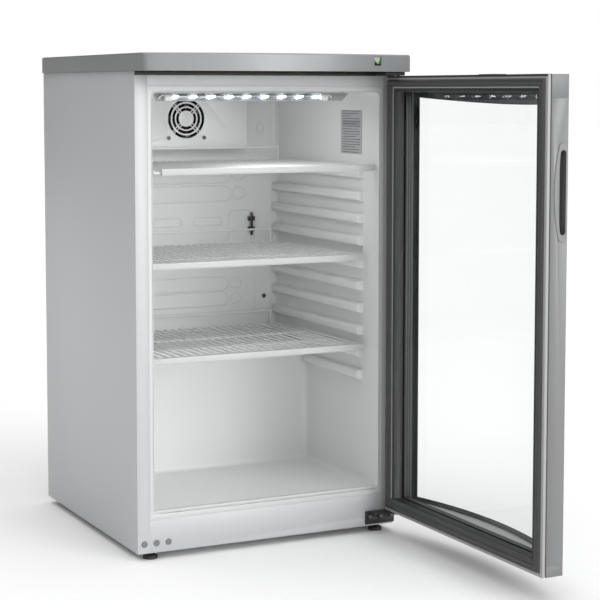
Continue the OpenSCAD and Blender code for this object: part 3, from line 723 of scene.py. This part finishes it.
# %% The rim and the sill
SILL_HIGH = 4.0
SILL_DEEP = 13.0
rim_low = Vector((room_low.x, cabinet_low.y, room_low.z))
rim_high = Vector((room_high.x, cabinet_low.y + SKIN * MM, room_high.z))
rim = block("liner_rim", rim_low, rim_high)
opening = block("opening", on_cabinet(WALL, -5, FLOOR), on_cabinet(cabinet_width - WALL, 5, ROOM_TOP))
pick_edges(opening, lambda middle, way: abs(way.y) > 0.9)
bpy.ops.mesh.bevel(offset=LINER_BEND * MM, segments=6, affect="EDGES")
leave_edit()
cut_away(rim, opening)
round_edges(rim, 0.6, 2)
sill_back = on_cabinet(cabinet_width - WALL + 1, SILL_DEEP, FLOOR + SILL_HIGH)
sill = block("sill", on_cabinet(WALL - 1, 1.2, FLOOR - 1), sill_back)
round_edges(sill, 2.2, 3)
rim = smooth(join("liner_rim", [rim, sill]), 40)
settle(rim, "cabinet", "liner_plastic")
print("rim", len(rim.data.polygons), "faces")

# %% [markdown]
# The cold plate lies behind the back wall, and its channels print through the plastic as low ridges: long
# flat loops with round ends, a ring beside each, and a frame round them all. A ridge is a fine tube sunk
# halfway into the wall.

# %% Ridges on the back wall
RIDGE = 1.4
BACK = ROOM_DEPTH + 0.1


def loop(x0, x1, z0, z1, corner, steps=6):
    points = []
    corners = [
        (x1 - corner, z1 - corner, 0.0),
        (x0 + corner, z1 - corner, 0.5),
        (x0 + corner, z0 + corner, 1.0),
        (x1 - corner, z0 + corner, 1.5),
    ]
    for x, z, quarter in corners:
        centre = on_cabinet(x, BACK, z)
        across, up = Vector((corner * MM, 0, 0)), Vector((0, 0, corner * MM))
        points += arc(centre, across, up, quarter * math.pi, (quarter + 0.5) * math.pi, steps)
    return tube("ridge", points, RIDGE * MM, closed=True, sides=2)


ridges = [loop(78, 407, 350, 646, 12)]
for z in (364, 394):
    ridges.append(loop(96, 351, z, z + 26, 12.5))
    ridges.append(loop(356, 378, z + 2, z + 24, 10.9))
for z in (566, 602):
    ridges.append(loop(96, 358, z, z + 30, 14.5))
    ridges.append(loop(362, 386, z + 3, z + 27, 11.9))
for x in (110, 195, 280):
    ridges.append(loop(x, x + 58, 520, 536, 7))
    ridges.append(loop(x, x + 58, 470, 486, 7))
ridges.append(loop(353, 400, 440, 548, 10))
ridges.append(loop(413, 427, 697, 715, 6.8))
for x, y in ((446, BACK), (39, BACK), (cabinet_width - WALL, 404), (WALL, 404)):
    upright = [on_cabinet(x, y, STEP_TOP + 10), on_cabinet(x, y, ROOM_TOP - 8)]
    ridges.append(tube("ridge", upright, 1.2 * MM, sides=2))
ridges = join("liner_ridges", ridges)
settle(ridges, "cabinet", "liner_plastic")
print("ridges", len(ridges.data.polygons), "faces")

# %% [markdown]
# Two screws hold the thermostat's sensor and the back wall. A dark cross-head screw is a low dome with a
# cross pressed into it, so the dome is bevelled and two thin bars are cut out of it.

# %% Screw heads on the back wall


def screw_head(name, centre, radius, height):
    head = bar(name, centre, centre + Vector((0, -height, 0)), radius, 28)
    face = centre.y - height
    pick_edges(head, lambda middle, way: abs(middle.y - face) < 0.00005)
    bpy.ops.mesh.bevel(offset=height * 0.7, segments=3, affect="EDGES")
    leave_edit()
    arm, half, deep = radius * 0.62, radius * 0.13, height * 0.7
    for wide, tall in ((arm, half), (half, arm)):
        low = Vector((centre.x - wide, face - 0.001, centre.z - tall))
        high = Vector((centre.x + wide, face + deep, centre.z + tall))
        cut_away(head, block("slot", low, high))
    return smooth(head, 30)


SCREW_LEVEL = 378
SCREW_RADIUS = 4.2 * MM
SCREW_HIGH = 2.4 * MM
wall_screws = [
    screw_head("wall_screw", on_cabinet(x, ROOM_DEPTH, SCREW_LEVEL), SCREW_RADIUS, SCREW_HIGH)
    for x in (427, 58)
]
wall_screws = settle(join("wall_screws", wall_screws), "cabinet", "screw_steel")
print("screws", len(wall_screws.data.polygons), "faces")

# %% [markdown]
# The fan's cover, the lamp, the feet, the hinge parts and the machinery behind the step are worked
# copies. Mouldings have a radius of about a millimetre, pressed and turned metal has half of that.

# %% Worked copies inside and under the cabinet
small_edges = {
    "fan_cover": 0.8,
    "lamp_plate": 0.6,
    "display_window": 0.5,
    "controller_box": 1.0,
    "probe_and_clips": 0.4,
    "hole_plugs": 0.7,
    "lower_hinge_bracket": 0.5,
    "lower_hinge_bolts": 0.5,
    "lower_hinge_pin": 0.5,
    "upper_hinge_bracket": 0.5,
    "upper_hinge_pin": 0.5,
    "compressor": 2.5,
    "compressor_mounts": 0.5,
    "terminal_box": 1.5,
    "filter_dryer": 1.2,
    "drip_tray": 1.0,
    "cord_gland": 0.6,
    "foot_front_left": 0.6,
    "foot_front_right": 0.6,
    "rear_feet": 0.8,
    "fan_rotor": 0.3,
    "fan_screws": 0.3,
}
for node, edge in small_edges.items():
    dressed[node] = worked_copy(node, edge, 2)
print(len(dressed), "worked copies")

# %% [markdown]
# Each shelf is a grid of white coated wire, which the model already has at its true size, so it only gets
# its finish. The trim clipped over its front is a ribbed profile: a soft channel with a second, lower
# step along it.

# %% Shelf trims
TRIM_SHORT = 8.0
for number in (1, 2, 3):
    node = "shelf_%d_trim" % number
    low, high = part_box(node)
    trim = worked_copy(node, 1.6, 3)
    step_low = Vector((low.x + 0.4 * MM, low.y - 0.6 * MM, low.z + 1.2 * MM))
    step_high = Vector((high.x - 0.4 * MM, low.y + 1.0 * MM, low.z + 5.4 * MM))
    step = round_edges(block("step", step_low, step_high), 0.75, 3)
    step.name = "shelf_%d_trim_step" % number
    smooth(step, 40)
    settle(step, body_of[node], slot_of[node])
    if number == 1:
        for part in (trim, step):
            end = low.x + 2.5 * MM
            pick_edges(part, lambda middle, way: middle.x < end)
            bpy.ops.transform.translate(value=(TRIM_SHORT * MM, 0, 0))
            leave_edit()
    print(node, len(trim.data.polygons), "faces")

# %% [markdown]
# The lamp is a clear tube with nine little boards in it. Each board carries a bright chip, and a white
# end cap with the cable closes the tube at either end.

# %% The lamp's ends
tube_low, tube_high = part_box("lamp_tube")
tube_middle = (tube_low + tube_high) / 2
tube_radius = (tube_high.z - tube_low.z) / 2
caps = []
for end, way in ((tube_low.x, -1), (tube_high.x, 1)):
    inner = Vector((end - way * 0.004, tube_middle.y, tube_middle.z))
    outer = Vector((end + way * 0.009, tube_middle.y, tube_middle.z))
    cap = bar("cap", inner, outer, tube_radius + 0.0004, 28)
    caps.append(round_edges(cap, 1.6, 3))
    hook = arc(outer, Vector((way * 0.008, 0, 0)), Vector((0, 0, tube_radius)), 0, math.pi / 2, 8)
    hook = [point - Vector((0, 0, 0.002)) for point in hook]
    caps.append(tube("lead", hook, 1.6 * MM))
lamp_caps = smooth(join("lamp_caps", caps), 40)
settle(lamp_caps, "cabinet", "tray_plastic")
print("lamp", round((tube_high.x - tube_low.x) / MM), "mm")

# %% [markdown]
# Behind the tube hangs a low grey reflector, folded down from the plate on the ceiling, with slanted
# ends. It is a block whose two lower end edges are moved inwards.

# %% The lamp's reflector
back_low = Vector((tube_low.x - 24 * MM, tube_high.y + 1 * MM, tube_low.z - 0.6 * MM))
back_high = Vector((tube_high.x + 56 * MM, tube_high.y + 4 * MM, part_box("lamp_plate")[0].z + 0.5 * MM))
reflector = block("lamp_reflector", back_low, back_high)
for end, shift in ((back_low.x, 5 * MM), (back_high.x, -14 * MM)):
    pick_edges(
        reflector,
        lambda middle, way: abs(middle.x - end) < 0.0001 and middle.z < back_low.z + 0.001,
    )
    bpy.ops.transform.translate(value=(shift, 0, 0))
    leave_edit()
round_edges(reflector, 0.5, 2)
smooth(reflector, 40)
settle(reflector, "cabinet", "lamp_metal")
print("reflector", [round(value / MM) for value in reflector.dimensions])

# %% [markdown]
# A black foam strip seals the joint between the cabinet and the worktop, and it stands in for the shade
# under the worktop's overhang as well: it is painted shade as much as seal. It shows as the dark line under
# the worktop's front, and beside the hinge a black cover closes the same gap.

# %% The seal and painted shade under the worktop
UNDER_LID = 811
# The black strip is the foam seal and also painted shade under the worktop's overhang.
seal_and_painted_shade = block("lid_seal", on_cabinet(0.4, -0.9, 804.2), on_cabinet(cabinet_width - 0.4, 0.6, UNDER_LID))
round_edges(seal_and_painted_shade, 0.6, 2)
cover = block("cover", on_cabinet(446, -37, 804.9), on_cabinet(cabinet_width - 0.6, 0, UNDER_LID))
round_edges(cover, 1.2, 3)
seal_and_painted_shade = smooth(join("lid_seal", [seal_and_painted_shade, cover]), 40)
settle(seal_and_painted_shade, "cabinet", "black_plastic")
print("seal_and_painted_shade", len(seal_and_painted_shade.data.polygons), "faces")

# %% [markdown]
# The door's frame is made of two hollow profiles and two rails with corner caps. The caps meet the
# profiles in a fine seam, so those pieces get a small bevel there. The white inner profile carries the
# gasket.

# %% Worked copies on the door
door_edges = {
    "door_stile_hinge": 0.6,
    "door_stile_latch": 0.6,
    "door_top_rail": 0.7,
    "door_bottom_rail": 0.7,
    "door_inner_frame": 0.9,
    "door_bead": 0.8,
    "handle_cup": 0.15,
    "door_bushes": 0.4,
}
for node, edge in door_edges.items():
    dressed[node] = worked_copy(node, edge, 2)
print(len(dressed), "worked copies")

# %% [markdown]
# The bead is only a narrow dark line along the bottom, because the sealed unit sits low there. Its lower
# inner edge goes down by a few millimetres.

# %% The bead's lower edge
BEAD_DROP = 6.0
BEAD_HIGH = 31
bead_edge = door_bottom + BEAD_HIGH
pick_edges(dressed["door_bead"], lambda middle, way: abs(middle.z - bead_edge * MM) < 1.2 * MM)
bpy.ops.transform.translate(value=(0, 0, -BEAD_DROP * MM))
leave_edit()
print("bead opens at", bead_edge - BEAD_DROP)

# %% [markdown]
# The gasket is a soft rubber roll with a magnet in it, and fine ribs run all the way round. The roll is a
# tube along a rectangle, flattened to its true height, with a second lip along the bottom. Each rib is a
# thin tube on it.

# %% The gasket
GASKET_IN = 3.5
GASKET_WIDE = 18.0
GASKET_LOW = 22.0
GASKET_HIGH = 5.3
RIB = 0.42


def door_loop(name, side, bottom, top, v, radius, sides=2):
    corners = [
        on_door(side, v, door_bottom + bottom),
        on_door(door_width - side, v, door_bottom + bottom),
        on_door(door_width - side, v, door_top - top),
        on_door(side, v, door_top - top),
    ]
    return tube(name, corners, radius * MM, closed=True, sides=sides)


def flatten(piece, v, share):
    take(piece)
    bpy.ops.object.mode_set(mode="EDIT")
    bpy.ops.mesh.select_all(action="SELECT")
    bpy.ops.transform.resize(value=(share, 1, 1), center_override=on_door(0, v, 0))
    leave_edit()
    return piece


half = GASKET_WIDE / 2
inset = GASKET_IN + half
roll = flatten(door_loop("roll", inset, inset, inset, 0, half, 7), 0, GASKET_HIGH / half)
lip_in = GASKET_IN + GASKET_LOW - 7.0
lip_side = GASKET_IN + 12
lip_ends = [on_door(u, 0, door_bottom + lip_in) for u in (lip_side, door_width - lip_side)]
lip = flatten(tube("lip", lip_ends, 6 * MM, sides=5), 0, 0.6)
ribs = [roll, lip]
for step, v in ((4.2, -4.75), (7.0, -5.15), (13.4, -4.75)):
    rib_in = GASKET_IN + step
    ribs.append(door_loop("rib", rib_in, rib_in, rib_in, v, RIB))
gasket = smooth(join("door_gasket_roll", ribs), 50)
settle(gasket, "door", "gasket_rubber", "door_gasket")
print("gasket", len(gasket.data.polygons), "faces")

# %% [markdown]
# Inside the lower rail, under the bowed pane, lies a light grey sill. It is a thin block, cut to the
# pane's bow by keeping only what lies inside a very wide drum of the bow's radius.

# %% The sill under the bowed pane
BOW = 40.0
door_thick = round((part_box("handle_plate")[1].x - door_low.x) / MM + 0.6, 2)
bow_radius = (door_width * door_width / 4 + BOW * BOW) / (2 * BOW)
bow_centre = door_thick + BOW - bow_radius
RAIL_HIGH = 17
STILE = 22.6
INNER_GLASS = 37.4
rail_top = door_bottom + RAIL_HIGH
sill_low = on_door(STILE, INNER_GLASS, rail_top - 0.3)
sill_high = on_door(door_width - STILE, 80, rail_top + 0.6)
pane_sill = block("pane_sill", sill_low, sill_high)
drum_foot = on_door(door_width / 2, bow_centre, rail_top)
bpy.ops.object.select_all(action="DESELECT")
bpy.ops.mesh.primitive_cylinder_add(
    vertices=720, radius=(bow_radius - 5) * MM, depth=0.04, location=drum_foot
)
drum = bpy.context.object
apply_place(drum)
add_modifier(pane_sill, "BOOLEAN", operation="INTERSECT", object=drum, solver="EXACT")
bpy.data.objects.remove(drum)
round_edges(pane_sill, 0.2, 1)
smooth(pane_sill, 40)
settle(pane_sill, "door", "frame_white")
print("sill", [round(value / MM, 1) for value in pane_sill.dimensions])

# %% [markdown]
# Between the panes runs a metal bar filled with drying beads. Two rows of tiny holes let the beads
# breathe. Every hole is the same eight-sided disc, and an Array modifier sets it along the bar.

# %% Holes along the spacer bar
HOLE_STEP = 4.0
HOLE_RADIUS = 0.85
HOLE_ROWS = (24.5, 29.5)


def hole_row(start, way, face, count):
    bpy.ops.object.select_all(action="DESELECT")
    bpy.ops.mesh.primitive_cylinder_add(
        vertices=8, radius=HOLE_RADIUS * MM, depth=0.3 * MM, location=start
    )
    piece = bpy.context.object
    piece.rotation_euler = face.to_track_quat("Z", "Y").to_euler()
    apply_place(piece)
    offset = way * HOLE_STEP * MM
    return add_modifier(
        piece,
        "ARRAY",
        count=count,
        use_relative_offset=False,
        use_constant_offset=True,
        constant_offset_displace=offset,
    )


rows = []
bar_side, bar_low, bar_high = 28.2, door_bottom + 25.0, door_top - 27.2
up = Vector((0, 0, 1))
along = Vector((0, -1, 0))
tall = int((bar_high - bar_low - 8) / HOLE_STEP)
wide = int((door_width - 2 * bar_side - 8) / HOLE_STEP)
for v in HOLE_ROWS:
    rows.append(hole_row(on_door(bar_side, v, bar_low + 4), up, along, tall))
    rows.append(hole_row(on_door(door_width - bar_side, v, bar_low + 4), up, -along, tall))
    rows.append(hole_row(on_door(bar_side + 4, v, bar_low), along, up, wide))
    rows.append(hole_row(on_door(bar_side + 4, v, bar_high), along, -up, wide))
spacer_holes = join("spacer_holes", rows)
settle(spacer_holes, "door", "frame_white")
print("spacer holes", len(spacer_holes.data.polygons), "faces")

# %% [markdown]
# A flat black cover plate lies on top of the door over the upper bush, a black strip closes the top of
# the white profile, and a black block fills the joint down the free edge between that profile and the
# stile as painted shade in the gap. All three are thin blocks.

# %% Cover plate on the door's top and painted shade down the free edge
plate = block("door_top_cover", on_door(276, 10, door_top - 0.2), on_door(326, 30, door_top + 1.2))
round_edges(plate, 0.5, 3)
strip = block("strip", on_door(0.3, -0.25, door_top - 3.4), on_door(door_width - 0.3, 6.9, door_top + 0.15))
round_edges(strip, 0.2, 2)
# A black block in the joint down the free edge: painted shade in the gap.
joint_painted_shade_low = on_door(door_width - 1.7, 5.4, door_bottom + 2)
joint_painted_shade_high = on_door(door_width - 0.05, 7.1, door_top - 1)
gap = block("gap", joint_painted_shade_low, joint_painted_shade_high)
plate = smooth(join("door_top_cover", [plate, strip, gap]), 40)
settle(plate, "door", "black_plastic")
print("cover", [round(value / MM, 1) for value in plate.dimensions])

# %% [markdown]
# The handle's bezel is a flat D with a long slot, and all its corners are round. A flat curve with a
# second outline inside it fills itself as a plate with a hole. It gets a thickness and a small bevel, is
# made a mesh and turned up. A slightly larger black plate under it shows as a fine dark line round the
# bezel: a painted shadow round its edge.

# %% The handle's bezel
grip_low, grip_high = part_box("handle_plate")
grip_middle = (grip_low.z + grip_high.z) / 2 / MM
grip_face = round((door_high.y - grip_low.y) / MM, 2)


def d_outline(narrow, wide, tall, sag, corner):
    """A D in v and z: straight at wide, bowed by sag towards narrow, with round corners."""
    half = tall / 2
    radius = (half * half + sag * sag) / (2 * sag)
    swing = math.asin((half - corner) / radius)
    bowed = []
    for i in range(25):
        a = -swing + 2 * swing * i / 24
        bowed.append((narrow + radius - radius * math.cos(a), radius * math.sin(a)))
    points = list(bowed)
    for centre_z, first in ((half - corner, 0.5), (-half + corner, 0.0)):
        for i in range(7):
            a = math.pi * (first - 0.5 * i / 6)
            points.append((wide - corner + corner * math.cos(a), centre_z + corner * math.sin(a)))
    inner = bowed[-1][0]
    turn = [math.pi / 2 * i / 6 for i in range(1, 7)]
    points[25:25] = [
        (inner + corner * (1 - math.cos(t)), half - corner + corner * math.sin(t)) for t in turn
    ]
    points += [
        (inner + corner * (1 - math.cos(t)), -half + corner - corner * math.sin(t))
        for t in reversed(turn)
    ]
    return points


def flat_plate(name, outlines, face, thick, bevel):
    data = bpy.data.curves.new(name, "CURVE")
    data.dimensions = "2D"
    data.fill_mode = "BOTH"
    data.extrude = (thick / 2 - bevel) * MM
    data.bevel_depth = bevel * MM
    data.bevel_resolution = 2
    for outline in outlines:
        line = data.splines.new("POLY")
        line.points.add(len(outline) - 1)
        for spot, (v, z) in zip(line.points, outline):
            spot.co = (v * MM, z * MM, 0, 1)
        line.use_cyclic_u = True
    piece = bpy.data.objects.new(name, data)
    bpy.context.scene.collection.objects.link(piece)
    take(piece)
    bpy.ops.object.convert(target="MESH")
    piece = bpy.context.object
    piece.rotation_euler = (math.pi / 2, 0, 0)
    piece.location = on_door(face, 0, grip_middle)
    apply_place(piece)
    return smooth(piece, 40)


outline = d_outline(13.4, 36.6, 148.5, 9.5, 7.0)
slot_line = d_outline(20.6, 34.2, 128.0, 3.5, 5.2)
bezel = flat_plate("handle_bezel", [outline, slot_line], grip_face - 0.75, 1.3, 0.35)
settle(bezel, "door", "door_silver", "handle_plate")
# A slightly larger black outline under the bezel: painted shadow round its edge.
shadow = d_outline(12.7, 36.9, 149.6, 9.5, 7.6)
bezel_painted_shadow = flat_plate("handle_groove", [shadow, slot_line], grip_face - 1.25, 0.6, 0.1)
settle(bezel_painted_shadow, "door", "black_plastic")
print("bezel", [round(value / MM, 1) for value in bezel.dimensions])

# %% [markdown]
# The small display in the worktop's front shows the temperature. Its figure is made of glowing bars, as
# on a seven segment display: one bar is modelled and placed where the figure needs it.

# %% The figure on the display
window_low, window_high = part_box("display_window")
FIGURE = ("top", "upper_right", "middle", "lower_left", "bottom")
digit_high = (window_high.z - window_low.z) * 0.44
digit_wide = digit_high * 0.5
stroke = digit_high * 0.11
middle = (window_low + window_high) / 2
front_face = window_low.y
segments = {
    "top": ((-0.5, 1.0), (0.5, 1.0)),
    "middle": ((-0.5, 0.0), (0.5, 0.0)),
    "bottom": ((-0.5, -1.0), (0.5, -1.0)),
    "upper_right": ((0.5, 0.0), (0.5, 1.0)),
    "lower_left": ((-0.5, -1.0), (-0.5, 0.0)),
}
bars = []
for name in FIGURE:
    (x0, z0), (x1, z1) = segments[name]
    start = Vector((middle.x + x0 * digit_wide, front_face, middle.z + z0 * digit_high / 2))
    end = Vector((middle.x + x1 * digit_wide, front_face, middle.z + z1 * digit_high / 2))
    bars.append(bar("segment", start, end, stroke / 2, 8))
figure = join("display_figure", bars)
settle(figure, "cabinet", "display_plastic")
print("figure", round(digit_high / MM, 1), "mm high")

# %% [markdown]
# Every piece now gets the finish of its slot. Three pieces are exceptions. The bowed pane's slot is plain
# glass, and the printed border belongs to that pane alone. The liner's rim is the same plastic as its walls
# but gets a darker copy of it, which is painted shade, and the figure glows.

# %% Finishes onto pieces


def dress(piece, finish):
    piece.data.materials.clear()
    piece.data.materials.append(finish)


count = 0
for piece in list(bpy.context.scene.objects):
    if piece.type != "MESH":
        continue
    slot = piece.get("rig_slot") or slot_of.get(piece.get("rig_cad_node"))
    if slot in looks:
        dress(piece, looks[slot])
        count += 1
dress(frame["nodes"]["glass_outer"], printed_glass)
# The rim and sill get a darker copy of the liner's plastic: painted shade.
rim_plastic = surface("rim_plastic", (0.57, 0.575, 0.575), 0.32, 0.0, 300, 0.03, 0.012)
dress(rim, rim_plastic)
dress(figure, digit_glow)
print(count, "pieces dressed")

# %% [markdown]
# The fridge stands on a plain pale floor that runs on into a white surrounding. The suns are very wide,
# so their shadows are soft. The key sun stands in front to the right, so the side that faces left falls
# into half shade. A second one shines straight in from the front, and the widest one from above lights
# the worktop and the floor. A small light inside the room copies what the lamp gives. The white
# surrounding is seen by the camera alone, and what it adds to the light is much weaker.

# %% The floor
bpy.ops.object.select_all(action="DESELECT")
bpy.ops.mesh.primitive_grid_add(x_subdivisions=8, y_subdivisions=8, size=60, location=(0, 0, 0))
floor = bpy.context.object
floor.name = "studio_floor"
floor_paint = surface("floor_paint", (0.93, 0.93, 0.93), 0.6, 0.0, 40, 0.05, 0.004)
dress(floor, floor_paint)
print("floor laid")

# %% Light
world = bpy.data.worlds.new("studio")
bpy.context.scene.world = world
world.use_nodes = True
background = world.node_tree.nodes["Background"]
background.inputs["Color"].default_value = (1, 1, 1, 1)
light_path = world.node_tree.nodes.new("ShaderNodeLightPath")
rays = Shade(world.node_tree, light_path.outputs["Is Camera Ray"])
AMBIENT = 0.22
feed(AMBIENT + rays * (1.0 - AMBIENT), background.inputs["Strength"])
aim = on_cabinet(cabinet_width / 2, 60, 420)


def studio_light(name, kind, place, spread, power):
    bpy.ops.object.light_add(type=kind, location=place)
    lamp = bpy.context.object
    lamp.name = name
    lamp.data.energy = power
    if kind == "SUN":
        lamp.data.angle = math.radians(spread)
    else:
        lamp.data.size = spread
    lamp.rotation_euler = (aim - Vector(place)).to_track_quat("-Z", "Y").to_euler()
    return lamp


studio_light("key", "SUN", (1.5, -3.0, 1.45), 40, 1.35)
studio_light("front", "SUN", (0.15, -3.4, 0.95), 50, 0.95)
studio_light("over", "SUN", (0.0, 0.0, 6.0), 100, 2.5)
lamp_place = tuple(on_cabinet(cabinet_width / 2, 40, ROOM_TOP - 26))
room_light = studio_light("room", "AREA", lamp_place, 0.10, 0.38)
room_light.rotation_euler = (math.radians(25), 0, 0)
print("lights", [lamp.name for lamp in bpy.data.lights])

# %% [markdown]
# The camera stands in front of the fridge to the left, a little under its top, and looks slightly down.
# Its long lens keeps the upright edges nearly parallel. The picture is slid by a small shift rather than
# by turning the camera.

# %% The camera
CAMERA_AT = (-1.2803, -2.6111, 0.7808)
AZIMUTH = math.radians(26.3075)
TILT = math.radians(4.7885)
camera_data = bpy.data.cameras.new("camera")
camera_data.lens = 103.46
camera_data.sensor_width = 36
camera_data.shift_x = 0.0126
camera_data.shift_y = -0.11
camera = bpy.data.objects.new("camera", camera_data)
bpy.context.scene.collection.objects.link(camera)
camera.location = CAMERA_AT
camera.rotation_euler = (math.pi / 2 - TILT, 0, -AZIMUTH)
bpy.context.scene.camera = camera
bpy.context.scene.view_settings.view_transform = "Standard"
bpy.context.scene.view_settings.look = "None"
print("camera", round(camera_data.lens, 1), "mm lens")

# %% [markdown]
# Last, everything is deselected.

# %% The end
bpy.ops.object.select_all(action="DESELECT")
